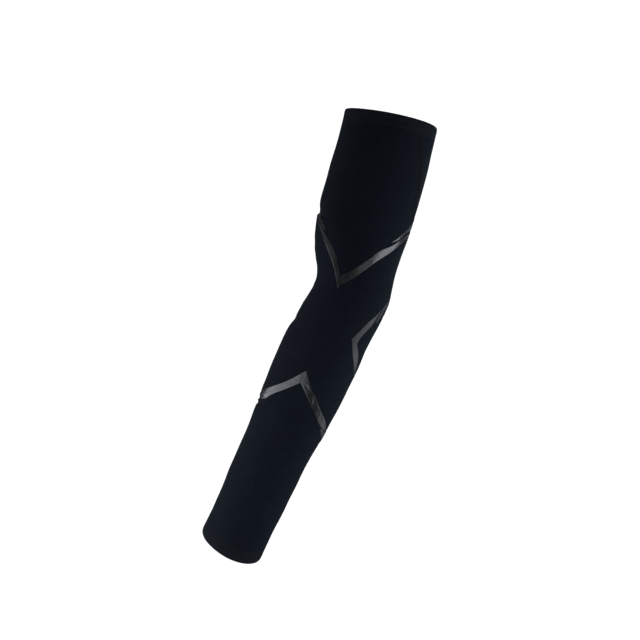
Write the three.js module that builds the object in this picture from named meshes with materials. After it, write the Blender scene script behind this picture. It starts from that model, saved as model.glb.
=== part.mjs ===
import * as THREE from 'three';

// Arm compression sleeve, in the shape that it takes on a slightly bent arm.
// Millimetres. +Z is up, the front faces -Y, and +X is to the right seen from the front.
// The origin is the middle of the upper opening, where the arm goes in.
// Places on the cloth are given as a distance along the arm, down from the upper opening,
// and as degrees round the arm from the front, positive to the right.

// Lengths along the middle of the arm
const UPPER_LENGTH = 158;
const FOREARM_LENGTH = 286.5;
const BEND_LENGTH = 60;

// How the arm hangs, in degrees: the lean to the left of straight down, and the turn to the back
const UPPER_LEAN = 13.7;
const FOREARM_LEAN = 24.6;
const FOREARM_BACK = 20.5;

// Outside widths, seen from the front, and depths from front to back
const BICEPS_WIDTH = 87;
const BICEPS_DEPTH = 80;
const ELBOW_WIDTH = 70;
const ELBOW_DEPTH = 77;
const FOREARM_WIDTH = 74.8;
const FOREARM_DEPTH = 73;
const WRIST_WIDTH = 62.5;
const WRIST_DEPTH = 57;

// How far the two openings are cut off square, in degrees, falling to the left
const UPPER_RIM_TILT = 0.6;
const WRIST_RIM_TILT = -3.5;

// The knit is one layer thick, and the hems are turned in to two
const CLOTH_WALL = 1.2;
const HEM_WALL = 2.2;
const UPPER_HEM_HEIGHT = 12;
const WRIST_HEM_HEIGHT = 14;

// Bonded support tape
const TAPE_WIDTH = 8;
const TAPE_THICKNESS = 0.5;

// The tapes' places: how far the point of each lies from the elbow, and how far each reaches
const UPPER_TAPE_TO_ELBOW = 12;
const UPPER_TAPE_RISE = 84;
const ELBOW_TAPE_DROP = 30;
const ELBOW_TAPE_HEIGHT = 80;
const ELBOW_TAPE_MIDDLE = 77;
const LOWER_TAPE_TO_ELBOW = 85.5;
const LOWER_TAPE_FALL = 86;

// Small folds where the cloth gathers at the inside of the bend and under the tape's pull
const FOLD_DEPTH = 2.4;
const FOLD_HALF_LENGTH = 6;
const FOLD_SPREAD = 38;

// Clearance between neighbouring pieces
const PIECE_GAP = 0.35;

// Fineness of the faceted surface
const SIDES_AROUND = 36;
const LONG_ROW = 12;
const SHORT_ROW = 5.2;
const TAPE_STEP = 4;
const LINE_STEP = 2;

const CLOTH_COLOUR = 0x14171d;
const TAPE_COLOUR = 0x44474c;

const SLEEVE_LENGTH = UPPER_LENGTH + FOREARM_LENGTH;
const { clamp, degToRad, lerp, smoothstep } = THREE.MathUtils;

// The stretches of arm and the named sizes that the sections below are shares of
const UPPER = { start: 0, length: UPPER_LENGTH };
const FORE = { start: UPPER_LENGTH, length: FOREARM_LENGTH };
const BICEPS = { width: BICEPS_WIDTH, depth: BICEPS_DEPTH };
const ELBOW = { width: ELBOW_WIDTH, depth: ELBOW_DEPTH };
const BELLY = { width: FOREARM_WIDTH, depth: FOREARM_DEPTH };
const WRIST = { width: WRIST_WIDTH, depth: WRIST_DEPTH };

// Sections: along is a share of the stretch, left and right shares of the width from the arm's
// middle line, front and back shares of the depth from it
const SECTIONS = [
  { on: UPPER, along: 0, of: BICEPS, left: 0.485, right: 0.487, front: 0.486, back: 0.486 },
  { on: UPPER, along: 0.08, of: BICEPS, left: 0.486, right: 0.49, front: 0.49, back: 0.49 },
  { on: UPPER, along: 0.25, of: BICEPS, left: 0.497, right: 0.493, front: 0.5, back: 0.5 },
  { on: UPPER, along: 0.4, of: BICEPS, left: 0.508, right: 0.487, front: 0.5, back: 0.505 },
  { on: UPPER, along: 0.53, of: BICEPS, left: 0.515, right: 0.474, front: 0.497, back: 0.503 },
  { on: UPPER, along: 0.66, of: BICEPS, left: 0.506, right: 0.456, front: 0.49, back: 0.5 },
  { on: UPPER, along: 0.76, of: ELBOW, left: 0.59, right: 0.543, front: 0.5, back: 0.515 },
  { on: UPPER, along: 0.85, of: ELBOW, left: 0.533, right: 0.524, front: 0.495, back: 0.512 },
  { on: UPPER, along: 0.925, of: ELBOW, left: 0.474, right: 0.534, front: 0.495, back: 0.505 },
  { on: UPPER, along: 1, of: ELBOW, left: 0.444, right: 0.553, front: 0.5, back: 0.5 },
  { on: FORE, along: 0.03, of: ELBOW, left: 0.444, right: 0.546, front: 0.5, back: 0.49 },
  { on: FORE, along: 0.085, of: ELBOW, left: 0.468, right: 0.532, front: 0.5, back: 0.48 },
  { on: FORE, along: 0.16, of: BELLY, left: 0.475, right: 0.491, front: 0.52, back: 0.498 },
  { on: FORE, along: 0.25, of: BELLY, left: 0.499, right: 0.499, front: 0.51, back: 0.5 },
  { on: FORE, along: 0.34, of: BELLY, left: 0.491, right: 0.496, front: 0.495, back: 0.495 },
  { on: FORE, along: 0.46, of: BELLY, left: 0.465, right: 0.476, front: 0.474, back: 0.476 },
  { on: FORE, along: 0.58, of: WRIST, left: 0.533, right: 0.532, front: 0.565, back: 0.57 },
  { on: FORE, along: 0.72, of: WRIST, left: 0.521, right: 0.512, front: 0.53, back: 0.535 },
  { on: FORE, along: 0.88, of: WRIST, left: 0.508, right: 0.5, front: 0.505, back: 0.508 },
  { on: FORE, along: 1, of: WRIST, left: 0.504, right: 0.489, front: 0.49, back: 0.49 },
];

// Folds: along is a share of the stretch, round is in degrees, and depth and length are shares of
// FOLD_DEPTH and FOLD_HALF_LENGTH
const FOLDS = [
  { on: UPPER, along: 0.545, round: -90, depth: 0.8, length: 1 },
  { on: UPPER, along: 0.955, round: -96, depth: 0.5, length: 1 },
  { on: FORE, along: 0.16, round: -88, depth: 0.5, length: 0.9 },
  { on: FORE, along: 0.51, round: -92, depth: 0.3, length: 0.9 },
];

// Tape above the elbow, a V on the front. up is a share of UPPER_TAPE_RISE from the V's inner
// corner to the tape's upper edge, and down is the tape's extent down the arm in tape widths.
const UPPER_FRONT = [
  { round: -84, up: 0.55, down: 0.08 },
  { round: -72, up: 0.5, down: 0.3 },
  { round: -60, up: 0.437, down: 0.8 },
  { round: -47, up: 0.35, down: 1.4 },
  { round: -30, up: 0.185, down: 1.95 },
  { round: -21.5, up: 0.04, down: 1.65 },
  { round: -18, up: 0, down: 1.1 },
  { round: 12, up: 0.176, down: 1.05 },
  { round: 33, up: 0.34, down: 1.35 },
  { round: 45, up: 0.413, down: 1.2 },
  { round: 71, up: 0.54, down: 0.42 },
  { round: 82, up: 0.588, down: 0.1 },
];

// The same loop of tape behind the arm. Each end is cut to a long point above the front tape's end.
const UPPER_BACK = [
  { round: 46, up: 0.433, down: -0.08 },
  { round: 57, up: 0.491, down: -0.45 },
  { round: 72, up: 0.565, down: -0.72 },
  { round: 92, up: 0.665, down: -1.2 },
  { round: 135, up: 0.82, down: -1.15 },
  { round: 192, up: 1, down: -1.3 },
  { round: 235, up: 0.79, down: -1.15 },
  { round: 270, up: 0.578, down: -0.95 },
  { round: 288, up: 0.517, down: -0.65 },
  { round: 300, up: 0.453, down: -0.5 },
  { round: 312, up: 0.37, down: -0.08 },
];

// Tape round the point of the elbow, half a diamond. up is a share of ELBOW_TAPE_HEIGHT from the
// diamond's middle, round is degrees from its side corner line, over the tape's extent round the arm.
const ELBOW_HALF = [
  { round: -1.6, up: 0.45, over: 0.08 },
  { round: -17, up: 0.31, over: 0.9 },
  { round: -35, up: 0.19, over: 1.3 },
  { round: -44, up: 0.07, over: 1.35 },
  { round: -47, up: 0.01, over: 1.3 },
  { round: -39, up: -0.09, over: 1.05 },
  { round: -21.5, up: -0.27, over: 1.05 },
  { round: -1.6, up: -0.5, over: 0.08 },
];

// Tape below the elbow, an inverted V on the front. down is a share of LOWER_TAPE_FALL from the
// inner corner to the tape's lower edge, and up is the tape's extent up the arm in tape widths.
const LOWER_FRONT = [
  { round: -115, down: 0.69, up: 0.1 },
  { round: -75, down: 0.53, up: 1.2 },
  { round: -57, down: 0.44, up: 1.22 },
  { round: -27, down: 0.187, up: 1.3 },
  { round: -8, down: 0, up: 1.55 },
  { round: 7, down: 0.108, up: 1.3 },
  { round: 35, down: 0.337, up: 1.22 },
  { round: 52, down: 0.433, up: 1 },
  { round: 71, down: 0.53, up: 0.6 },
  { round: 88, down: 0.6, up: 0.1 },
];

// The same loop behind the arm, with its ends cut to long points below the front tape's ends
const LOWER_BACK = [
  { round: 52, down: 0.449, up: -0.08 },
  { round: 71, down: 0.545, up: -0.6 },
  { round: 88, down: 0.618, up: -1.15 },
  { round: 130, down: 0.8, up: -1.1 },
  { round: 172, down: 1, up: -1.25 },
  { round: 215, down: 0.83, up: -1.1 },
  { round: 245, down: 0.71, up: -1.15 },
  { round: 262, down: 0.64, up: -0.7 },
  { round: 285, down: 0.55, up: -0.08 },
];

function leanAt(along) {
  const turn = smoothstep(along, UPPER_LENGTH - BEND_LENGTH / 2, UPPER_LENGTH + BEND_LENGTH / 2);
  return {
    lean: degToRad(lerp(UPPER_LEAN, FOREARM_LEAN, turn)),
    back: degToRad(FOREARM_BACK * turn),
  };
}

function armDirection(along) {
  const { lean, back } = leanAt(along);
  return new THREE.Vector3(
    -Math.sin(lean) * Math.cos(back),
    Math.sin(back),
    -Math.cos(lean) * Math.cos(back),
  );
}

// The arm's middle line, walked down from the upper opening in short steps
function walkArmLine() {
  const points = [new THREE.Vector3()];
  for (let along = 0; along <= SLEEVE_LENGTH; along += LINE_STEP) {
    const next = points.at(-1).clone();
    next.addScaledVector(armDirection(along + LINE_STEP / 2), LINE_STEP);
    points.push(next);
  }
  return points;
}

const ARM_LINE = walkArmLine();

function middleAt(along) {
  const step = clamp(Math.floor(along / LINE_STEP), 0, ARM_LINE.length - 2);
  return ARM_LINE[step].clone().lerp(ARM_LINE[step + 1], along / LINE_STEP - step);
}

function placeOn(row) {
  return row.on.start + row.along * row.on.length;
}

const SECTION_CURVE = new THREE.CubicInterpolant(
  SECTIONS.map(placeOn),
  SECTIONS.flatMap(({ of, left, right, front, back }) => [
    left * of.width,
    right * of.width,
    front * of.depth,
    back * of.depth,
  ]),
  4,
);

// How deep the folds draw the cloth in at a place
function foldAt(along, round) {
  let depth = 0;
  for (const fold of FOLDS) {
    const down = (along - placeOn(fold)) / (fold.length * FOLD_HALF_LENGTH);
    const turn = round - fold.round;
    const aside = (turn - 360 * Math.round(turn / 360)) / FOLD_SPREAD;
    depth += fold.depth * FOLD_DEPTH * Math.exp(-down * down - aside * aside);
  }
  return depth;
}

// The point of the outer surface at a place, moved outwards by outset
function surfacePoint(along, round, outset = 0) {
  const [left, right, front, back] = SECTION_CURVE.evaluate(along);
  const angle = degToRad(round);
  const grow = outset - foldAt(along, round);
  const across = (right - left) / 2 + ((left + right) / 2 + grow) * Math.sin(angle);
  const forward = (front - back) / 2 + ((front + back) / 2 + grow) * Math.cos(angle);
  const { lean } = leanAt(along);
  const toRight = new THREE.Vector3(Math.cos(lean), 0, -Math.sin(lean));
  const toFront = armDirection(along).cross(toRight);
  return middleAt(along).addScaledVector(toRight, across).addScaledVector(toFront, forward);
}

// Millimetres of cloth to a degree round the arm
function degreeLength(along) {
  const [left, right, front, back] = SECTION_CURVE.evaluate(along);
  return degToRad((left + right + front + back) / 4);
}

// The rows of knit lean with the openings' tilt
function rowShift(along, round) {
  const tilt = lerp(UPPER_RIM_TILT, WRIST_RIM_TILT, along / SLEEVE_LENGTH);
  const [left, right] = SECTION_CURVE.evaluate(along);
  return -Math.tan(degToRad(tilt)) * ((left + right) / 2) * Math.sin(degToRad(round));
}

function isShaped(along) {
  const inBend = Math.abs(along - UPPER_LENGTH) < BEND_LENGTH / 2;
  return inBend || FOLDS.some((fold) => Math.abs(along - placeOn(fold)) < 1.5 * FOLD_HALF_LENGTH);
}

// Row places between two ends, close together where the surface bends or folds
function rowPlaces(from, to) {
  const places = [from];
  while (to - places.at(-1) > SHORT_ROW) {
    const last = places.at(-1);
    const near = isShaped(last) || isShaped(last + LONG_ROW);
    places.push(Math.min(last + (near ? SHORT_ROW : LONG_ROW), to));
  }
  if (to - places.at(-1) > SHORT_ROW / 4) {
    places.push(to);
  } else {
    places[places.length - 1] = to;
  }
  return places;
}

function addQuad(index, a, b, c, d) {
  index.push(a, b, c, a, c, d);
}

// Turns the faces over if they point inwards
function faceOutwards(points, index) {
  let volume = 0;
  for (let i = 0; i < index.length; i += 3) {
    const [a, b, c] = [points[index[i]], points[index[i + 1]], points[index[i + 2]]];
    volume += a.dot(b.clone().cross(c));
  }
  return volume < 0 ? index.toReversed() : index;
}

function solid(name, points, index, material) {
  const geometry = new THREE.BufferGeometry().setFromPoints(points);
  geometry.setIndex(faceOutwards(points, index));
  geometry.computeVertexNormals();
  const mesh = new THREE.Mesh(geometry, material);
  mesh.name = name;
  return mesh;
}

// A stretch of tube between two places along the arm, open at both ends
function tube(name, from, to, wall, material) {
  const places = rowPlaces(from, to);
  const points = [];
  for (const outset of [0, -wall]) {
    for (const along of places) {
      for (let side = 0; side < SIDES_AROUND; side += 1) {
        const round = (side * 360) / SIDES_AROUND;
        points.push(surfacePoint(along + rowShift(along, round), round, outset));
      }
    }
  }
  const last = places.length - 1;
  const at = (layer, row, side) =>
    (layer * places.length + row) * SIDES_AROUND + (side % SIDES_AROUND);
  const index = [];
  for (let side = 0; side < SIDES_AROUND; side += 1) {
    for (let row = 0; row < last; row += 1) {
      addQuad(index, at(0, row, side), at(0, row + 1, side), at(0, row + 1, side + 1),
        at(0, row, side + 1));
      addQuad(index, at(1, row, side + 1), at(1, row + 1, side + 1), at(1, row + 1, side),
        at(1, row, side));
    }
    addQuad(index, at(0, 0, side), at(0, 0, side + 1), at(1, 0, side + 1), at(1, 0, side));
    addQuad(index, at(1, last, side), at(1, last, side + 1), at(0, last, side + 1),
      at(0, last, side));
  }
  return solid(name, points, index, material);
}

// Cross sections of a tape between its table's rows. Each has the along and round of one edge,
// and how far the other edge lies from it down the arm and round the arm, in tape widths.
function tapeSections(rows) {
  const sections = [];
  for (let i = 0; i < rows.length - 1; i += 1) {
    const [a, b] = [rows[i], rows[i + 1]];
    const sideways = (b.round - a.round) * degreeLength(a.along);
    const steps = Math.ceil(Math.hypot(b.along - a.along, sideways) / TAPE_STEP);
    for (let step = 0; step < steps; step += 1) {
      const share = step / steps;
      sections.push({
        along: lerp(a.along, b.along, share),
        round: lerp(a.round, b.round, share),
        down: lerp(a.down, b.down, share),
        over: lerp(a.over, b.over, share),
      });
    }
  }
  sections.push(rows.at(-1));
  return sections;
}

// A flat tape that follows the surface, with its cross section as a closed ring of points
function tape(name, rows, material) {
  const across = [0, 0.5, 1];
  const points = [];
  const sections = tapeSections(rows);
  for (const { along, round, down, over } of sections) {
    const turn = (over * TAPE_WIDTH) / degreeLength(along);
    const edge = (share, outset) =>
      surfacePoint(along + share * down * TAPE_WIDTH, round + share * turn, outset);
    points.push(...across.map((share) => edge(share, PIECE_GAP + TAPE_THICKNESS)));
    points.push(...across.toReversed().map((share) => edge(share, PIECE_GAP)));
  }
  const ring = across.length * 2;
  const index = [];
  for (let row = 0; row < sections.length - 1; row += 1) {
    for (let side = 0; side < ring; side += 1) {
      const next = (side + 1) % ring;
      addQuad(index, row * ring + side, (row + 1) * ring + side, (row + 1) * ring + next,
        row * ring + next);
    }
  }
  const end = (sections.length - 1) * ring;
  for (let side = 0; side < across.length - 1; side += 1) {
    addQuad(index, side, side + 1, ring - 2 - side, ring - 1 - side);
    addQuad(index, end + ring - 1 - side, end + ring - 2 - side, end + side + 1, end + side);
  }
  return solid(name, points, index, material);
}

// The three tables' rows as places on the arm
function upperRows(rows) {
  const corner = UPPER_LENGTH - UPPER_TAPE_TO_ELBOW;
  return rows.map(({ round, up, down }) => (
    { along: corner - up * UPPER_TAPE_RISE, round, down, over: 0 }));
}

function elbowRows(side) {
  const middle = UPPER_LENGTH + ELBOW_TAPE_DROP;
  return ELBOW_HALF.map(({ round, up, over }) => ({
    along: middle - up * ELBOW_TAPE_HEIGHT,
    round: ELBOW_TAPE_MIDDLE + side * round,
    down: 0,
    over: side * over,
  }));
}

function lowerRows(rows) {
  const corner = UPPER_LENGTH + LOWER_TAPE_TO_ELBOW;
  return rows.map(({ round, down, up }) => (
    { along: corner + down * LOWER_TAPE_FALL, round, down: -up, over: 0 }));
}

function clothMaterial() {
  return new THREE.MeshStandardMaterial({ color: CLOTH_COLOUR, roughness: 0.92, metalness: 0 });
}

function tapeMaterial() {
  return new THREE.MeshStandardMaterial({ color: TAPE_COLOUR, roughness: 0.45, metalness: 0 });
}

const cloth = clothMaterial();
const film = tapeMaterial();

const knitFrom = UPPER_HEM_HEIGHT + PIECE_GAP;
const knitTo = SLEEVE_LENGTH - WRIST_HEM_HEIGHT - PIECE_GAP;

const sleeve = new THREE.Group();
sleeve.add(
  tube('sleeve_body', knitFrom, knitTo, CLOTH_WALL, cloth),
  tube('upper_hem', 0, UPPER_HEM_HEIGHT, HEM_WALL, cloth),
  tube('wrist_hem', SLEEVE_LENGTH - WRIST_HEM_HEIGHT, SLEEVE_LENGTH, HEM_WALL, cloth),
  tape('upper_chevron_front', upperRows(UPPER_FRONT), film),
  tape('upper_chevron_back', upperRows(UPPER_BACK), film),
  tape('elbow_chevron_front', elbowRows(1), film),
  tape('elbow_chevron_back', elbowRows(-1), film),
  tape('lower_chevron_front', lowerRows(LOWER_FRONT), film),
  tape('lower_chevron_back', lowerRows(LOWER_BACK), film),
);

export default sleeve;
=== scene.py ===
import math

import bpy
import numpy as np
from mathutils import Matrix, Vector


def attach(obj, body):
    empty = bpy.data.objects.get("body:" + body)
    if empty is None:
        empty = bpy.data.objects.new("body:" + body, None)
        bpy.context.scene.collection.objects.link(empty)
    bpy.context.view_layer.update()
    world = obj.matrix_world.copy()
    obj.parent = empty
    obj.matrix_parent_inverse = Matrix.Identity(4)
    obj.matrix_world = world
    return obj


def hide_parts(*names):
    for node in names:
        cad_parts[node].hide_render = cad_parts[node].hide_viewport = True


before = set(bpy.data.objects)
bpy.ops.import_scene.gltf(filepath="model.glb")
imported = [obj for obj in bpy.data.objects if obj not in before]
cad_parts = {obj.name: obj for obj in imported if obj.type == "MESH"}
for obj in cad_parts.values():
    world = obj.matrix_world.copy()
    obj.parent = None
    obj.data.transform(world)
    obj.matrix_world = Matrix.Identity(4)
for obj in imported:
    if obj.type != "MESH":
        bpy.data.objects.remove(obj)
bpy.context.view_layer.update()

# Camera. It stands level, square to the front of the arm and 1.2 m away, about as high as the
# elbow, with a long portrait lens.
lens = bpy.data.cameras.new("camera")
lens.lens = 75
lens.sensor_width = 36
lens.dof.use_dof = False
camera = bpy.data.objects.new("camera", lens)
camera.location = (-0.064035, -1.2, -0.18027)
camera.rotation_euler = (math.radians(90), 0, 0)
bpy.context.scene.collection.objects.link(camera)
bpy.context.scene.camera = camera


# Sleeve body. One piece of fine black stretch knit, nylon and elastane, cut to the arm's taper and
# sewn into a tube. It is worn stretched, so it lies on the arm all round, with small folds at the
# inside of the bend and where the tapes pull on it.

UPPER_LENGTH = 0.158
FOREARM_LENGTH = 0.2865
SLEEVE_LENGTH = UPPER_LENGTH + FOREARM_LENGTH
BEND_LENGTH = 0.060
UPPER_LEAN, FOREARM_LEAN, FOREARM_BACK = 13.7, 24.6, 20.5
UPPER_RIM_TILT, WRIST_RIM_TILT = 1.4, -3.5
BICEPS = (0.087, 0.080)
ELBOW = (0.070, 0.077)
BELLY = (0.0748, 0.073)
WRIST = (0.0625, 0.057)
UPPER_HEM_HEIGHT = 0.012
WRIST_HEM_HEIGHT = 0.014
KNIT_THICKNESS = 0.0009
LINE_STEP = 0.002

# Share of the way down the upper arm or the forearm, width and depth there, and the shares of them
# that lie to the left, to the right, in front and at the back of the arm's middle line
UPPER_SECTIONS = [
    (0, BICEPS, 0.485, 0.487, 0.486, 0.486),
    (0.08, BICEPS, 0.486, 0.49, 0.49, 0.49),
    (0.25, BICEPS, 0.497, 0.493, 0.5, 0.5),
    (0.4, BICEPS, 0.508, 0.487, 0.5, 0.505),
    (0.53, BICEPS, 0.515, 0.474, 0.497, 0.503),
    (0.66, BICEPS, 0.506, 0.456, 0.49, 0.5),
    (0.76, ELBOW, 0.59, 0.543, 0.5, 0.515),
    (0.85, ELBOW, 0.533, 0.524, 0.495, 0.512),
    (0.925, ELBOW, 0.474, 0.534, 0.495, 0.505),
    (1, ELBOW, 0.444, 0.553, 0.5, 0.5),
]
FOREARM_SECTIONS = [
    (0.03, ELBOW, 0.444, 0.546, 0.5, 0.49),
    (0.085, ELBOW, 0.468, 0.532, 0.5, 0.48),
    (0.16, BELLY, 0.475, 0.491, 0.52, 0.498),
    (0.25, BELLY, 0.499, 0.499, 0.51, 0.5),
    (0.34, BELLY, 0.491, 0.496, 0.495, 0.495),
    (0.46, BELLY, 0.465, 0.476, 0.474, 0.476),
    (0.58, WRIST, 0.533, 0.532, 0.565, 0.57),
    (0.72, WRIST, 0.521, 0.512, 0.53, 0.535),
    (0.88, WRIST, 0.508, 0.5, 0.505, 0.508),
    (1, WRIST, 0.514, 0.497, 0.49, 0.49),
]

# Folds: place down the sleeve, degrees round from the front, depth, length of its slope above and
# below, degrees of spread, and slant in metres to a degree. A negative depth is a swelling.
FOLDS = [
    (0.0968, -92, 0.0023, 0.0066, 0.0011, 34, 0.00012),
    (0.1630, 92, 0.0006, 0.0080, 0.0080, 30, 0),
    (0.1720, -86, -0.0004, 0.0160, 0.0160, 40, 0),
    (0.2038, -90, 0.0012, 0.0054, 0.0054, 36, 0),
    (0.2560, -80, -0.0004, 0.0120, 0.0120, 36, 0),
    (0.2800, -80, -0.0006, 0.0080, 0.0080, 30, 0),
    (0.2868, -78, 0.0013, 0.0018, 0.0017, 22, -0.00035),
    (0.2894, -78, -0.0002, 0.0020, 0.0006, 22, -0.00035),
    (0.2916, -78, 0.0013, 0.0013, 0.0027, 22, -0.00035),
    (0.3000, -80, -0.0004, 0.0100, 0.0100, 30, 0),
    (0.3720, -88, -0.0008, 0.0160, 0.0160, 40, 0),
]

# Slack in the cloth, as waves: height, waves round the arm, waves to a metre down it, start
SLACK = [
    (0.00016, 3, 9, 0.3),
    (0.00012, 5, -14, 1.9),
    (0.00010, 2, 23, 4.1),
    (0.00007, 7, 31, 2.6),
]
# Fine creases across the inside of the bend: place, degrees round, height, half width, spread
CREASE_SLANT = 0.00010
BEND_CREASES = [
    (0.118, -78, 0.00030, 0.0034, 24),
    (0.129, -92, 0.00038, 0.0030, 30),
    (0.140, -74, 0.00030, 0.0032, 22),
    (0.163, -84, 0.00036, 0.0034, 28),
    (0.174, -68, 0.00026, 0.0030, 20),
    (0.186, -96, 0.00030, 0.0034, 26),
]


def section_table():
    """The sections' places, and how far each reaches to the left, right, front and back."""
    rows = [(share * UPPER_LENGTH, *rest) for share, *rest in UPPER_SECTIONS]
    rows += [(UPPER_LENGTH + share * FOREARM_LENGTH, *rest) for share, *rest in FOREARM_SECTIONS]
    places = np.array([row[0] for row in rows])
    widths = [
        (left * width, right * width, front * depth, back * depth)
        for _, (width, depth), left, right, front, back in rows
    ]
    return places, np.array(widths)


SECTION_PLACES, SECTION_WIDTHS = section_table()


def smooth_through(places, values, at):
    """A smooth curve through a table's rows. Each row's slope is the mean of those beside it."""
    slopes = np.diff(values, axis=0) / np.diff(places)[:, None]
    slopes = np.concatenate([slopes[:1], (slopes[:-1] + slopes[1:]) / 2, slopes[-1:]])
    at = np.clip(at, places[0], places[-1])
    row = np.clip(np.searchsorted(places, at, side="right") - 1, 0, len(places) - 2)
    gap = (places[row + 1] - places[row])[..., None]
    share = ((at - places[row]) / gap[..., 0])[..., None]
    start = values[row] * (2 * share**3 - 3 * share**2 + 1)
    start = start + slopes[row] * gap * (share**3 - 2 * share**2 + share)
    end = values[row + 1] * (3 * share**2 - 2 * share**3)
    return start + end + slopes[row + 1] * gap * (share**3 - share**2)


def arm_lean(along):
    """The arm's lean to the left and back, in radians. Both change over the bend."""
    turn = np.clip((along - UPPER_LENGTH) / BEND_LENGTH + 0.5, 0, 1)
    turn = turn * turn * (3 - 2 * turn)
    lean = np.radians(UPPER_LEAN + (FOREARM_LEAN - UPPER_LEAN) * turn)
    return lean, np.radians(FOREARM_BACK * turn)


def arm_direction(along):
    """Which way the arm's middle line runs, as a unit vector."""
    lean, back = arm_lean(along)
    return np.stack([-np.sin(lean) * np.cos(back), np.sin(back), -np.cos(lean) * np.cos(back)], -1)


def walk_arm_line():
    """The arm's middle line, from the upper opening down in short steps."""
    middles = np.arange(0, SLEEVE_LENGTH + LINE_STEP, LINE_STEP) + LINE_STEP / 2
    return np.concatenate([np.zeros((1, 3)), np.cumsum(arm_direction(middles) * LINE_STEP, 0)])


ARM_LINE = walk_arm_line()


def arm_middle(along):
    """The place on the arm's middle line this far down the sleeve."""
    steps = along / LINE_STEP
    step = np.clip(np.floor(steps).astype(int), 0, len(ARM_LINE) - 2)
    return ARM_LINE[step] + (ARM_LINE[step + 1] - ARM_LINE[step]) * (steps - step)[..., None]


def bell(distance):
    """1 at no distance, and nearly 0 from 2 on."""
    return np.exp(-distance * distance)


def degrees_apart(around, other):
    return (around - other + 180) % 360 - 180


def cloth_relief(along, around):
    """How far the cloth stands out from the plain arm shape, from its folds and slack."""
    relief = 0 * (along + around)
    for place, turn, depth, above, below, spread, slant in FOLDS:
        aside = degrees_apart(around, turn)
        down = along - place - slant * aside
        relief -= depth * bell(down / np.where(down < 0, above, below)) * bell(aside / spread)
    for place, turn, height, half, spread in BEND_CREASES:
        aside = degrees_apart(around, turn)
        down = along - (place + CREASE_SLANT * aside)
        relief += height * bell(down / half) * bell(aside / spread)
    for height, rounds, waves, start in SLACK:
        relief += height * np.sin(rounds * np.radians(around) + waves * math.tau * along + start)
    return relief


def cloth_point(along, around, out=0.0):
    """The place on the cloth's outer face this far down the sleeve and this many degrees round
    it from the front, or out metres off it."""
    along, around = np.broadcast_arrays(np.asarray(along, float), np.asarray(around, float))
    left, right, front, back = np.moveaxis(
        smooth_through(SECTION_PLACES, SECTION_WIDTHS, along), -1, 0)
    grow = out + cloth_relief(along, around)
    angle = np.radians(around)
    across = (right - left) / 2 + ((left + right) / 2 + grow) * np.sin(angle)
    forward = (front - back) / 2 + ((front + back) / 2 + grow) * np.cos(angle)
    lean, _ = arm_lean(along)
    to_right = np.stack([np.cos(lean), 0 * lean, -np.sin(lean)], -1)
    to_front = np.cross(arm_direction(along), to_right)
    return arm_middle(along) + to_right * across[..., None] + to_front * forward[..., None]


def degree_length(along):
    """Metres of cloth to a degree round the arm."""
    return np.radians(smooth_through(SECTION_PLACES, SECTION_WIDTHS, along).mean(-1))


RIM_DIP_IN_FRONT, RIM_DIP_ASIDE, RIM_RAISED = 0.0005, 0.0003, 0.0001


def row_place(along, around):
    """A row of knit leans with the openings' tilt. The upper opening dips a little in front."""
    share = np.clip(along / SLEEVE_LENGTH, 0, 1)
    tilt = np.radians(UPPER_RIM_TILT + (WRIST_RIM_TILT - UPPER_RIM_TILT) * share)
    half_width = smooth_through(SECTION_PLACES, SECTION_WIDTHS, along)[..., :2].mean(-1)
    angle = np.radians(around)
    dip = RIM_DIP_IN_FRONT * np.cos(angle) - RIM_DIP_ASIDE * np.sin(2 * angle) - RIM_RAISED
    return along - np.tan(tilt) * half_width * np.sin(angle) + dip * (1 - share) ** 4


def make_piece(name, points, faces, material, smooth_up_to=50):
    """Puts a mesh in the scene, riding on the sleeve, with its finish."""
    mesh = bpy.data.meshes.new(name)
    mesh.from_pydata(points.reshape(-1, 3).tolist(), [], faces)
    mesh.materials.append(material)
    mesh.shade_smooth()
    mesh.set_sharp_from_angle(angle=math.radians(smooth_up_to))
    piece = bpy.data.objects.new(name, mesh)
    bpy.context.scene.collection.objects.link(piece)
    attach(piece, "root")
    return piece


CLOTH_SIDES = 144
WALES_AROUND = 432
COURSE_LENGTH = 0.00052


def knit_band(name, alongs, outs, material):
    """A closed ring of cloth. alongs and outs give the outline of its cut edge, as places down
    the sleeve and distances off the cloth's outer face. The grain counts stitches of knit."""
    sides = CLOTH_SIDES
    around = np.arange(sides) * 360 / sides
    rows = row_place(alongs[:, None], around[None, :])
    points = cloth_point(rows, around[None, :], outs[:, None])
    count = len(alongs)
    row, side = np.meshgrid(np.arange(count), np.arange(sides), indexing="ij")
    next_row, next_side = (row + 1) % count, (side + 1) % sides
    corners = np.stack([row * sides + side, row * sides + next_side,
                        next_row * sides + next_side, next_row * sides + side], -1)
    piece = make_piece(name, points, corners.reshape(-1, 4).tolist(), material)
    wale = np.stack([side, side + 1, side + 1, side], -1) * (WALES_AROUND / sides)
    course = np.stack([alongs[row], alongs[row], alongs[next_row], alongs[next_row]], -1)
    grain = np.stack([wale, course / COURSE_LENGTH], -1).reshape(-1, 2)
    layer = piece.data.uv_layers.new(name="grain")
    layer.uv.foreach_set("vector", grain.astype(np.float32).ravel())
    return piece


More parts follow.
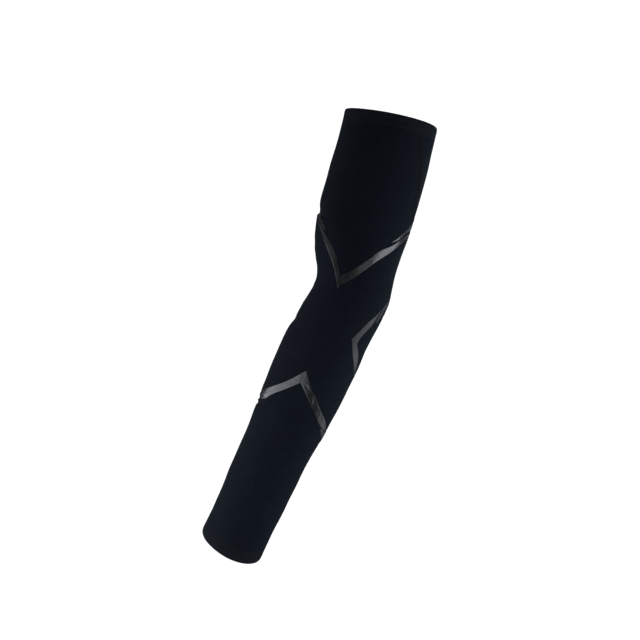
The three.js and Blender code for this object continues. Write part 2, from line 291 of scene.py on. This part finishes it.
class Nodes:
    """Short ways to add nodes to a material."""

    def __init__(self, name):
        self.material = bpy.data.materials.new(name)
        self.material.use_nodes = True
        self.tree = self.material.node_tree
        self.shader = self.tree.nodes["Principled BSDF"]

    def add(self, kind, inputs=(), **settings):
        node = self.tree.nodes.new("ShaderNode" + kind)
        for key, value in settings.items():
            setattr(node, key, value)
        for key, value in dict(inputs).items():
            self.set(node.inputs[key], value)
        return node

    def set(self, socket, value):
        if isinstance(value, bpy.types.NodeSocket):
            self.tree.links.new(value, socket)
        else:
            socket.default_value = value

    def maths(self, operation, *values):
        return self.add("Math", enumerate(values), operation=operation).outputs[0]

    def spread(self, value, low, high, to_low, to_high):
        node = self.add("MapRange", {"Value": value, "From Min": low, "From Max": high,
                                     "To Min": to_low, "To Max": to_high})
        return node.outputs["Result"]

    def noise(self, place, scale, detail=2.0, roughness=0.5):
        node = self.add("TexNoise", {"Vector": place, "Scale": scale, "Detail": detail,
                                     "Roughness": roughness})
        return node.outputs["Fac"]

    def blend(self, share, low, high):
        """A colour between two, by share."""
        node = self.add("Mix", {0: share, 6: (*low, 1), 7: (*high, 1)}, data_type="RGBA",
                        clamp_factor=False)
        return node.outputs[2]

    def bump(self, height, distance, strength=1.0, under=None):
        inputs = {"Height": height, "Distance": distance, "Strength": strength}
        if under is not None:
            inputs["Normal"] = under
        return self.add("Bump", inputs).outputs["Normal"]

    def finish(self, **sockets):
        for key, value in sockets.items():
            self.set(self.shader.inputs[key.replace("_", " ")], value)
        return self.material


# gap is a painted shade colour for the hollows between the loops, and loop_top the loops' own
# colour.
def knit_finish(name, gap, loop_top):
    """Fine jersey: columns of small slanting loops, with painted shade in the gaps between them,
    the soft sheen of nylon and slightly uneven dye."""
    nodes = Nodes(name)
    place = nodes.add("TexCoord").outputs["Object"]
    grain = nodes.add("SeparateXYZ", {0: nodes.add("UVMap", uv_map="grain").outputs[0]})
    in_wale = nodes.maths("FRACT", grain.outputs["X"])
    from_middle = nodes.maths("ABSOLUTE", nodes.maths("MULTIPLY_ADD", in_wale, 2.0, -1.0))
    leg = nodes.maths("PINGPONG", nodes.maths("MULTIPLY", from_middle, 2.0), 1.0)
    slanted = nodes.maths("MULTIPLY_ADD", from_middle, -0.6, grain.outputs["Y"])
    loop = nodes.maths("SINE", nodes.maths("MULTIPLY", nodes.maths("FRACT", slanted), math.pi))
    height = nodes.maths("MULTIPLY", nodes.maths("POWER", leg, 0.6),
                         nodes.maths("MULTIPLY_ADD", loop, 0.6, 0.4))
    dye = nodes.noise(place, 22.0, 3.0, 0.55)
    yarn = nodes.noise(place, 1400.0, 1.0)
    # Painted shade: the loops' height darkens the colour towards the gaps between them and
    # lightens their tops a little. The dye noise varies it at random.
    loop_shade_and_dye = nodes.maths("MULTIPLY", nodes.spread(height, 0, 1, 0.45, 1.15),
                       nodes.spread(dye, 0.3, 0.7, 0.88, 1.12))
    fuzz = nodes.bump(yarn, 0.00004, 0.5)
    return nodes.finish(
        Base_Color=nodes.blend(loop_shade_and_dye, gap, loop_top),
        Roughness=nodes.spread(dye, 0.3, 0.7, 0.78, 0.9),
        Specular_IOR_Level=0.12, Specular_Tint=(0.70, 0.84, 1.0, 1),
        Sheen_Weight=0.045, Sheen_Roughness=0.35, Sheen_Tint=(0.62, 0.78, 1.0, 1),
        Normal=nodes.bump(height, 0.00014, 0.7, fuzz))


# The first colour is painted shade in the gaps between the loops, the second the loops' own
# colour.
black_knit = knit_finish("black_knit", (0.0011, 0.0015, 0.0026), (0.0130, 0.0168, 0.0256))


BODY_ROWS = 260
HEM_CLEARANCE = 0.00005
# The rows of the mesh stand closer at the two sharp folds: place, half length, and how much closer
SHARP_FOLDS = [(0.0945, 0.009), (0.2910, 0.007)]
ROWS_CLOSER = 2.5
COUNTING_STEPS = 2000


def make_sleeve_body():
    top = UPPER_HEM_HEIGHT + HEM_CLEARANCE
    end = SLEEVE_LENGTH - WRIST_HEM_HEIGHT - HEM_CLEARANCE
    places = np.linspace(top, end, COUNTING_STEPS)
    closeness = 1
    for place, half in SHARP_FOLDS:
        closeness = closeness + ROWS_CLOSER * bell((places - place) / half)
    counted = np.cumsum(closeness) - closeness[0]
    down = np.interp(np.linspace(0, counted[-1], BODY_ROWS), counted, places)
    alongs = np.concatenate([down, down[::-1]])
    outs = np.concatenate([np.zeros(BODY_ROWS), np.full(BODY_ROWS, -KNIT_THICKNESS)])
    return knit_band("sleeve_body", alongs, outs, black_knit)


sleeve_body = make_sleeve_body()
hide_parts("sleeve_body")


# Hems. At each opening the knit is turned in once and held by a two-needle cover stitch: two rows
# of straight stitches show outside, in a shallow groove each, and the looper threads zigzag
# between them over the raw edge inside.

HEM_THICKNESS = 0.0020
HEM_PUFF = 0.00018
FOLD_ROUND = 0.0010
NEEDLE_GAP = 0.0050
GROOVE_DEPTH = 0.00020
GROOVE_HALF_WIDTH = 0.0007
CUT_EDGE_THINNER = 0.00035
STITCH_LENGTH = 0.0022
STITCH_PITCH = 0.0028
STITCH_PULLED_IN = 0.00030
STITCH_SUNK = 0.00004
LOOPER_LIFT = 0.00012
THREAD_RADIUS = 0.00019
LOOPER_RADIUS = THREAD_RADIUS * 0.8
THREAD_SIDES = 6
THREAD_END = 0.55


def thread_finish():
    """Textured nylon thread, a little more lustrous than the knit, with its twist."""
    nodes = Nodes("black_thread")
    place = nodes.add("TexCoord").outputs["Object"]
    fibres = nodes.noise(place, 2600.0, 1.0)
    return nodes.finish(
        Base_Color=nodes.blend(fibres, (0.003, 0.0036, 0.005), (0.009, 0.011, 0.015)),
        Roughness=0.6, Specular_IOR_Level=0.25, Sheen_Weight=0.03,
        Normal=nodes.bump(fibres, 0.00005, 0.5))


black_thread = thread_finish()


def tube_faces(rings, sides, first=0):
    """The faces of a closed tube whose rings of points start at the point first."""
    faces = []
    for at in range(first, first + (rings - 1) * sides, sides):
        for side in range(sides):
            turn = (side + 1) % sides
            faces.append((at + side, at + turn, at + sides + turn, at + sides + side))
    faces.append(tuple(first + side for side in reversed(range(sides))))
    faces.append(tuple(first + (rings - 1) * sides + side for side in range(sides)))
    return faces


def threads(name, alongs, arounds, outs, radius):
    """Many short lengths of thread laid on the cloth, one to each row of the arrays, each a tube
    along its row's places with tapered, closed ends."""
    sides = THREAD_SIDES
    count, stations = alongs.shape
    middle = cloth_point(alongs, arounds, outs)
    lift = cloth_point(alongs, arounds, outs + 0.001) - middle
    lift /= np.linalg.norm(lift, axis=-1, keepdims=True)
    run = np.gradient(middle, axis=1)
    aside = np.cross(run, lift)
    aside /= np.linalg.norm(aside, axis=-1, keepdims=True)
    fullness = np.ones(stations)
    fullness[0] = fullness[-1] = THREAD_END
    angle = np.arange(sides) * math.tau / sides
    ring = lift[:, :, None] * np.cos(angle)[:, None] + aside[:, :, None] * np.sin(angle)[:, None]
    points = middle[:, :, None] + ring * (radius * fullness)[None, :, None, None]
    faces = []
    for stitch in range(count):
        faces += tube_faces(stations, sides, stitch * stations * sides)
    make_piece(name, points, faces, black_thread, 70)


def stitch_row(name, along, out):
    """A ring of straight stitches, each pulled in at its two needle holes."""
    pitch = STITCH_PITCH / float(degree_length(np.array(along)))
    count = round(360 / pitch)
    start = np.arange(count)[:, None] * 360 / count
    station = np.array([-1, -0.75, -0.3, 0.3, 0.75, 1]) / 2
    arounds = start + station[None, :] * STITCH_LENGTH / STITCH_PITCH * 360 / count
    alongs = row_place(np.full(arounds.shape, along), arounds)
    outs = np.broadcast_to(out - STITCH_PULLED_IN * (2 * np.abs(station)) ** 3, arounds.shape)
    threads(name, alongs, arounds, outs, THREAD_RADIUS)


def looper_row(name, near, far, out):
    """The zigzag of looper thread inside the hem, across the turned-in edge."""
    pitch = STITCH_PITCH / 2 / float(degree_length(np.array(near)))
    count = round(360 / pitch / 2) * 2
    share = np.linspace(0, 1, 4)[None, :]
    leg = np.arange(count)[:, None]
    arounds = (leg + share) * 360 / count
    across = np.where(leg % 2 == 0, share, 1 - share)
    alongs = row_place(near + (far - near) * across, arounds)
    outs = np.full(arounds.shape, out)
    threads(name, alongs, arounds, outs, LOOPER_RADIUS)


def hem_outline(height, first_needle, reach):
    """The folded hem cut across: down the outside from the fold, up the inside, and round the
    fold. Distances are from the opening's edge, which the fold reaches past."""
    second_needle = first_needle + NEEDLE_GAP
    down = np.linspace(FOLD_ROUND - reach, height - HEM_CLEARANCE, 30)
    puff = HEM_PUFF * np.sin(np.clip(down / first_needle, 0, 1) * math.pi)
    groove = GROOVE_DEPTH * (bell((down - first_needle) / GROOVE_HALF_WIDTH)
                             + bell((down - second_needle) / GROOVE_HALF_WIDTH))
    turn = np.radians(np.arange(20, 170, 20))
    fold_down = FOLD_ROUND - reach - FOLD_ROUND * np.sin(turn)
    fold_out = -HEM_THICKNESS * (1 - np.cos(turn)) / 2
    inner = -HEM_THICKNESS - puff + groove * 0.6
    inner[-1] += CUT_EDGE_THINNER
    downs = np.concatenate([down, down[::-1], fold_down[::-1]])
    outs = np.concatenate([puff - groove, inner[::-1], fold_out[::-1]])
    return downs, outs


def make_hem(name, height, first_needle, reach, rim, inward):
    """rim is the opening's place down the sleeve, and inward is 1 where the cloth goes on down the
    sleeve from it and -1 where it goes on up."""
    downs, outs = hem_outline(height, first_needle, reach)
    alongs = rim + inward * downs
    if inward < 0:
        alongs, outs = alongs[::-1], outs[::-1]
    hem = knit_band(name, alongs, outs, hem_knit)
    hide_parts(name)
    first, second = rim + inward * first_needle, rim + inward * (first_needle + NEEDLE_GAP)
    stitch_row(f"{name}_stitches_1", first, -STITCH_SUNK)
    stitch_row(f"{name}_stitches_2", second, -STITCH_SUNK)
    looper_row(f"{name}_looper", first, second, -HEM_THICKNESS - LOOPER_LIFT)
    return hem


# The cloth is doubled here. Its knit is lighter and greyer than the body's, and its first colour
# is painted shade in the gaps between the loops.
hem_knit = knit_finish("hem_knit", (0.0019, 0.0022, 0.0032), (0.0185, 0.0210, 0.0280))
upper_hem = make_hem("upper_hem", UPPER_HEM_HEIGHT, first_needle=0.0059, reach=0.0004,
                     rim=0.0, inward=1)
wrist_hem = make_hem("wrist_hem", WRIST_HEM_HEIGHT, first_needle=0.0078, reach=0.0009,
                     rim=SLEEVE_LENGTH, inward=-1)


# Side seam. The tube is closed by one flat seam, its raw edges butted and covered on both faces
# by interlaced threads, so it lies flat on the skin. It runs from the upper hem across to the
# outside of the elbow, and on down the back of the forearm.

SEAM_WIDTH = 0.0044
SEAM_HEIGHT = 0.00028
SEAM_CLOTH_SHARE = 0.62
SEAM_ROWS = 300
SEAM_END_GAP = 0.0003
SEAM_ROOT = 0.0003
SEAM_EDGE_SUNK = 0.00003
SEAM_DENT = 0.00008
SEAM_STITCH_PITCH = 0.0026
SEAM_STITCH_SHARE = 0.82
SEAM_STITCH_LIFT = 0.00022
SEAM_STITCH_PULLED_IN = 0.0002
SEAM_STITCH_RADIUS = 0.00017
SEAM_NEEDLE_ASIDE = 0.74
COVER_REACH = 0.86
COVER_LIFT = 0.00004
COVER_RADIUS = 0.00014
THREAD_END_GAP = 0.001
# The seam's way: place down the sleeve and degrees round from the front
SEAM_LINE = np.array([
    (0.012, 41), (0.021, 47), (0.032, 53.5), (0.044, 58), (0.059, 62.5), (0.073, 69.5),
    (0.088, 76.5), (0.120, 90), (0.158, 99), (0.250, 105), (0.4303, 110),
])


def seam_round(along):
    """How many degrees round from the front the seam lies, this far down the sleeve."""
    return smooth_through(SEAM_LINE[:, 0], SEAM_LINE[:, 1:], along)[..., 0]


def seam_rise(along, around):
    """How far the seam lifts what lies over it."""
    aside = degrees_apart(around, seam_round(along)) * degree_length(along) / (SEAM_WIDTH / 2)
    within = (along > SEAM_LINE[0, 0]) & (along < SEAM_LINE[-1, 0])
    return SEAM_HEIGHT * within * np.clip(1 - aside**4, 0, 1)


def make_side_seam():
    """A low ridge with a dent along its middle, where the raw edges meet."""
    alongs = np.linspace(UPPER_HEM_HEIGHT + SEAM_END_GAP,
                         SLEEVE_LENGTH - WRIST_HEM_HEIGHT - SEAM_END_GAP, SEAM_ROWS)
    across = np.array([-1, -0.92, -0.7, -0.35, 0, 0.35, 0.7, 0.92, 1])
    over = SEAM_HEIGHT * SEAM_CLOTH_SHARE * (1 - across**4) - SEAM_EDGE_SUNK
    over[len(across) // 2] -= SEAM_DENT
    ring_across = np.concatenate([across, across[-2:0:-1]])
    ring_out = np.concatenate([over, np.full(len(across) - 2, -SEAM_ROOT)])
    around = seam_round(alongs)[:, None] + (
        ring_across[None, :] * SEAM_WIDTH / 2 / degree_length(alongs)[:, None])
    points = cloth_point(alongs[:, None], around, ring_out[None, :])
    faces = tube_faces(SEAM_ROWS, len(ring_across))
    return make_piece("side_seam", points, faces, black_knit)


def make_seam_threads():
    """Cover threads that cross the seam from edge to edge and back, and a needle row each side."""
    start = UPPER_HEM_HEIGHT + THREAD_END_GAP
    end = SLEEVE_LENGTH - WRIST_HEM_HEIGHT - THREAD_END_GAP
    count = round((end - start) / SEAM_STITCH_PITCH)
    legs = 2 * count
    leg = np.arange(legs)[:, None]
    share = np.linspace(0, 1, 5)[None, :]
    alongs = start + (leg + share) * (end - start) / legs
    aside = np.where(leg % 2 == 0, share, 1 - share) * 2 - 1
    outs = SEAM_HEIGHT * SEAM_CLOTH_SHARE * (1 - (COVER_REACH * aside) ** 4) + COVER_LIFT
    arounds = seam_round(alongs) + COVER_REACH * aside * SEAM_WIDTH / 2 / degree_length(alongs)
    threads("side_seam_cover_threads", alongs, arounds, outs, COVER_RADIUS)
    for number, side in ((1, -SEAM_NEEDLE_ASIDE), (2, SEAM_NEEDLE_ASIDE)):
        station = np.array([-1, -0.7, 0, 0.7, 1]) / 2 * SEAM_STITCH_SHARE
        alongs = start + (np.arange(count)[:, None] + 0.5 + station) * (end - start) / count
        arounds = seam_round(alongs) + side * SEAM_WIDTH / 2 / degree_length(alongs)
        outs = SEAM_STITCH_LIFT - SEAM_STITCH_PULLED_IN * (2.4 * np.abs(station)) ** 3
        outs = np.broadcast_to(outs, alongs.shape)
        threads(f"side_seam_stitches_{number}", alongs, arounds, outs, SEAM_STITCH_RADIUS)


side_seam = make_side_seam()
make_seam_threads()


# Support tapes. Thin dark grey film, cut in chevrons and bonded to the cloth by heat, with a
# semi-gloss face that has crinkled a little in wear. One loop above the elbow, one below it, and
# a diamond round the elbow's point. Each loop is a front and a back tape with long cut points.

TAPE_WIDTH = 0.008
TAPE_THICKNESS = 0.00026
TAPE_LIFT = 0.00004
TAPE_EDGE_THINNER = 0.55
TAPE_STEP = 0.0004
STEPS_ACROSS = 24
STEPS_CROWDED = 1.25
CREASE_SPACING = 0.0016

UPPER_TAPE_CORNER = UPPER_LENGTH - 0.012
UPPER_TAPE_RISE = 0.084
ELBOW_TAPE_DROP = 0.030
ELBOW_TAPE_HEIGHT = 0.080
ELBOW_TAPE_MIDDLE = 77
LOWER_TAPE_CORNER = UPPER_LENGTH + 0.0855
LOWER_TAPE_FALL = 0.086

# Degrees round from the front, share of the rise to the upper edge, extent down in tape widths
UPPER_FRONT = [
    (-80, 0.528, 0.06), (-72, 0.494, 0.15), (-60, 0.437, 0.62), (-47, 0.345, 1.12),
    (-35, 0.244, 1.69), (-29.5, 0.173, 1.87), (-25.5, 0.054, 1.28), (-22.5, -0.012, 1.04),
    (-20, 0.006, 0.93), (-8, 0.057, 0.85), (12, 0.176, 0.85), (30, 0.333, 1.16),
    (45, 0.412, 0.84), (57, 0.492, 0.75), (70, 0.557, 0.58), (82, 0.6, 0.12),
]
UPPER_BACK = [
    (42, 0.436, -0.05), (49, 0.468, -0.25), (56, 0.5, -0.54), (69.5, 0.588, -0.7),
    (92, 0.665, -1.2), (135, 0.82, -1.15), (192, 1, -1.3), (235, 0.79, -1.15),
    (253, 0.663, -0.95), (263, 0.598, -0.74), (270, 0.562, -0.46), (278, 0.556, -0.36),
    (288, 0.507, -0.66), (300, 0.447, -0.5), (306, 0.415, -0.33), (312, 0.372, -0.05),
]
# Degrees from the diamond's middle, share of its height, extent round and down in tape widths.
# Both tapes of the diamond share the half that closes it, and each has its own point.
ELBOW_HALF = [
    (-36, 0.2, 1.04, 0), (-41, 0.131, 0.95, 0), (-44.5, 0.081, 0.95, 0), (-48, 0.019, 1.02, 0),
    (-43, -0.044, 0.77, 0), (-35.5, -0.138, 0.95, 0), (-28, -0.225, 0.95, 0),
    (-20, -0.306, 0.78, 0), (-11, -0.405, 0.5, 0), (-2, -0.5, 0.07, 0),
]
ELBOW_FRONT_POINT = [
    (-19.8, 0.335, 0.04, 0), (-22.5, 0.3, 0.24, 0), (-26.5, 0.269, 0.48, 0), (-31, 0.237, 0.76, 0),
]
ELBOW_BACK_POINT = [
    (17.7, 0.212, -0.1, 0), (16.8, 0.25, -0.42, 0), (16, 0.288, -0.66, 0), (14, 0.338, -0.71, 0),
    (10.5, 0.381, -0.72, 0.12), (-4, 0.455, 0, 0.86), (-17, 0.31, 0.6, 0.36),
]
# Degrees round from the front, share of the fall to the lower edge, extent up in tape widths
LOWER_FRONT = [
    (-115, 0.69, 0.1), (-88, 0.576, 0.8), (-75, 0.52, 1.18), (-57, 0.434, 1.5),
    (-44, 0.32, 1.27), (-28, 0.186, 1.29), (-8, 0.003, 1.69), (7, 0.116, 1.31),
    (19, 0.209, 1.24), (33, 0.32, 1.14), (42, 0.39, 1.17), (52.5, 0.453, 1.06),
    (67.5, 0.523, 0.56), (88, 0.6, 0.1),
]
LOWER_BACK = [
    (53, 0.471, -0.05), (60, 0.498, -0.41), (70, 0.545, -0.7), (88, 0.618, -1.15),
    (130, 0.8, -1.1), (172, 1, -1.25), (215, 0.83, -1.1), (245, 0.71, -1.15),
    (262, 0.64, -0.7), (285, 0.55, -0.08),
]


def upper_edge(rows):
    """Rows as place down the sleeve, degrees round, then the other edge's distance down and
    round, in tape widths."""
    return [(UPPER_TAPE_CORNER - up * UPPER_TAPE_RISE, turn, down, 0) for turn, up, down in rows]


def elbow_edge(rows, side):
    """side is 1 for the front tape and -1 for the back one, its mirror image."""
    middle = UPPER_LENGTH + ELBOW_TAPE_DROP
    return [(middle - up * ELBOW_TAPE_HEIGHT, ELBOW_TAPE_MIDDLE + side * turn, down, side * over)
            for turn, up, over, down in rows]


def lower_edge(rows):
    return [(LOWER_TAPE_CORNER + down * LOWER_TAPE_FALL, turn, -up, 0) for turn, down, up in rows]


def film_finish():
    """Thermoplastic film: near black, semi-gloss, with fine crinkles that break up its shine."""
    nodes = Nodes("support_film")
    place = nodes.add("TexCoord").outputs["Object"]
    patches = nodes.noise(place, 90.0, 3.0, 0.6)
    crinkle = nodes.noise(place, 300.0, 3.0, 0.62)
    mottle = nodes.noise(place, 520.0, 2.0, 0.6)
    shade = nodes.maths("MULTIPLY", nodes.spread(patches, 0.3, 0.7, 0, 1),
                        nodes.spread(mottle, 0.3, 0.7, 0.2, 1.8))
    return nodes.finish(
        Base_Color=nodes.blend(shade, (0.0075, 0.0082, 0.0092), (0.0150, 0.0157, 0.0170)),
        Roughness=nodes.spread(patches, 0.3, 0.7, 0.22, 0.34),
        Specular_IOR_Level=1.0, Normal=nodes.bump(crinkle, 0.00020, 1.0))


support_film = film_finish()


def tape_line(rows, corners):
    """The rows joined by smooth limbs that meet at the corner rows, and each one's distance
    from the tape's start."""
    table = np.array(rows, float)
    line, reached = [], 0.0
    for start, end in zip((0, *corners), (*corners, len(table) - 1)):
        limb = table[start:end + 1]
        sideways = np.diff(limb[:, 1]) * degree_length((limb[:-1, 0] + limb[1:, 0]) / 2)
        places = np.concatenate([[0], np.cumsum(np.hypot(np.diff(limb[:, 0]), sideways))])
        at = np.linspace(0, places[-1], math.ceil(places[-1] / TAPE_STEP) + 1)
        joined = np.column_stack([smooth_through(places, limb, at), reached + at])
        line.append(joined[(1 if line else 0):])
        reached += places[-1]
    return np.concatenate(line)


def film_creases(length, number, draws):
    """Small ridges where the film has crumpled: distance along the tape, place across it in
    metres, direction, half length, half width and height."""
    return np.column_stack([
        draws.uniform(0, length, number), draws.uniform(-0.5, 0.5, number) * TAPE_WIDTH,
        draws.uniform(-80, 80, number), draws.uniform(0.0010, 0.0034, number),
        draws.uniform(0.00040, 0.00090, number), draws.uniform(-0.00007, 0.00009, number)])


def film_relief(along_tape, across_tape, creases):
    """How far the film stands out at its creases."""
    relief = 0 * (along_tape + across_tape)
    for place, aside, turn, half, narrow, height in creases:
        ahead, beside = along_tape - place, across_tape - aside
        slope = math.radians(turn)
        down_ridge = ahead * math.cos(slope) + beside * math.sin(slope)
        off_ridge = beside * math.cos(slope) - ahead * math.sin(slope)
        relief += height * bell(down_ridge / half) * bell(off_ridge / narrow)
    return relief


def make_tape(name, rows, corners, marked, draws):
    """A strip of film. corners are the rows where its limbs meet, and marked are the creases that
    stand out, with degrees round for their distance."""
    line = tape_line(rows, corners)
    across = np.linspace(-1, 1, STEPS_ACROSS + 1)
    across = np.sign(across) * (1 - (1 - np.abs(across)) ** STEPS_CROWDED)
    under = np.array([1.0, 0.0, -1.0])
    length = line[-1, 4]
    creases = list(film_creases(length, round(length / CREASE_SPACING), draws))
    for turn, *crease in marked:
        creases.append((line[np.abs(degrees_apart(line[:, 1], turn)).argmin(), 4], *crease))
    along, around, down, over, distance = line.T[..., None]
    wide = np.hypot(down, over)
    relief = film_relief(distance, across * wide * TAPE_WIDTH / 2, creases)
    relief *= np.clip(wide * 2, 0, 1) * (1 - across**4)
    top = TAPE_LIFT + TAPE_THICKNESS * (1 - TAPE_EDGE_THINNER * np.abs(across) ** 16) + relief
    ring_across = np.concatenate([across, under]) / 2 + 0.5
    ring_out = np.concatenate([top, np.full((len(line), len(under)), TAPE_LIFT)], axis=1)
    alongs = along + ring_across * down * TAPE_WIDTH
    arounds = around + ring_across * over * TAPE_WIDTH / degree_length(along)
    points = cloth_point(alongs, arounds, ring_out + seam_rise(alongs, arounds))
    faces = tube_faces(len(line), len(ring_across))
    tape = make_piece(name, points, faces, support_film, 40)
    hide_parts(name)


# Creases that stand out: degrees round, place across, direction, half length and width, height
VERTEX_CREASES = [
    (-16, 0.0010, 60, 0.0030, 0.00042, 0.00026), (-11, -0.0012, 40, 0.0035, 0.00060, -0.00018),
    (-6, 0.0014, 75, 0.0026, 0.00050, 0.00020), (0, 0.0, 30, 0.0034, 0.00060, -0.00018),
]
LOWER_CREASES = [
    (4, 0.0, 20, 0.0040, 0.00080, -0.00022), (18, 0.0, -57, 0.0040, 0.00066, 0.00040),
    (27, 0.0004, 45, 0.0046, 0.00062, 0.00038), (37, -0.0010, 70, 0.0034, 0.00062, 0.00036),
    (44, 0.0012, -35, 0.0032, 0.00060, -0.00022), (50, 0.0, 55, 0.0030, 0.00060, 0.00022),
]
elbow_front = elbow_edge(ELBOW_FRONT_POINT + ELBOW_HALF, 1)
elbow_back = elbow_edge(ELBOW_BACK_POINT + ELBOW_HALF, -1)
crumple = np.random.default_rng(14)
make_tape("upper_chevron_front", upper_edge(UPPER_FRONT), [7], VERTEX_CREASES, crumple)
make_tape("upper_chevron_back", upper_edge(UPPER_BACK), [6], [], crumple)
make_tape("elbow_chevron_front", elbow_front, [7], [], crumple)
make_tape("elbow_chevron_back", elbow_back, [5, 10], [], crumple)
make_tape("lower_chevron_front", lower_edge(LOWER_FRONT), [6], LOWER_CREASES, crumple)
make_tape("lower_chevron_back", lower_edge(LOWER_BACK), [5], [], crumple)


# Studio. A plain white floor that sweeps up into the wall all round, with soft light boxes low on
# both sides and weak fills from the front and from behind.

FLOOR_HEIGHT = -1.25
FLOOR_RADIUS = 2.0
SWEEP_ROUND = 1.2
ELBOW_PLACE = Vector(arm_middle(np.array(UPPER_LENGTH)))
COOL_WHITE = (0.87, 0.93, 1.0)


def make_sweep():
    """The floor and wall as one turned surface."""
    curve = [(radius, FLOOR_HEIGHT) for radius in (0.0, 0.5, 1.2, FLOOR_RADIUS)]
    curve += [(FLOOR_RADIUS + SWEEP_ROUND * math.sin(math.radians(angle)),
               FLOOR_HEIGHT + SWEEP_ROUND * (1 - math.cos(math.radians(angle))))
              for angle in range(10, 91, 10)]
    curve += [(FLOOR_RADIUS + SWEEP_ROUND, height) for height in (1.0, 2.5, 4.5)]
    sides = 64
    turns = [math.tau * side / sides for side in range(sides)]
    points = [(radius * math.cos(turn), radius * math.sin(turn), height)
              for radius, height in curve for turn in turns]
    faces = [(row * sides + side, row * sides + (side + 1) % sides,
              (row + 1) * sides + (side + 1) % sides, (row + 1) * sides + side)
             for row in range(len(curve) - 1) for side in range(sides)]
    mesh = bpy.data.meshes.new("studio_sweep")
    mesh.from_pydata(points, [], faces)
    mesh.shade_smooth()
    sweep = bpy.data.objects.new("studio_sweep", mesh)
    bpy.context.scene.collection.objects.link(sweep)
    nodes = Nodes("white_paper")
    mesh.materials.append(nodes.finish(
        Base_Color=(0.85, 0.85, 0.85, 1), Roughness=0.9,
        Emission_Color=(1, 1, 1, 1), Emission_Strength=1.0))
    sweep.visible_diffuse = False
    sweep.visible_glossy = False
    sweep.visible_shadow = False
    return sweep


def soft_box(name, round_arm, rise, distance, width, height, radiance, roll=0):
    """A light box that faces the elbow, from degrees round it and degrees above it."""
    light = bpy.data.lights.new(name, "AREA")
    light.shape = "RECTANGLE"
    light.size, light.size_y = width, height
    light.color = COOL_WHITE
    light.energy = radiance * math.pi * width * height
    box = bpy.data.objects.new(name, light)
    turn, up = math.radians(round_arm), math.radians(rise)
    away = Vector((math.sin(turn) * math.cos(up), -math.cos(turn) * math.cos(up), math.sin(up)))
    box.location = ELBOW_PLACE + away * distance
    box.rotation_euler = (away.to_track_quat("Z", "Y").to_matrix()
                          @ Matrix.Rotation(math.radians(roll), 3, "Z")).to_euler()
    box.visible_camera = False
    bpy.context.scene.collection.objects.link(box)


make_sweep()
# Degrees round from the front and above level, distance, width, height, brightness, roll
soft_box("left_box", -91, -22, 0.80, 1.15, 0.36, 2.2, -27)
soft_box("low_left_box", -72, -50, 0.95, 1.00, 0.50, 0.9)
soft_box("right_box", 78, -12, 0.95, 1.00, 0.40, 2.5)
soft_box("low_right_box", 106, -42, 0.95, 1.10, 0.80, 0.55)
soft_box("front_fill", 24, -2, 2.40, 1.60, 1.40, 0.46)
soft_box("back_fill", 160, 10, 2.40, 2.00, 1.20, 0.7)

world = bpy.data.worlds.new("studio")
world.use_nodes = True
world.node_tree.nodes["Background"].inputs["Color"].default_value = (*COOL_WHITE, 1)
world.node_tree.nodes["Background"].inputs["Strength"].default_value = 0.10
bpy.context.scene.world = world
bpy.context.scene.view_settings.view_transform = "Standard"
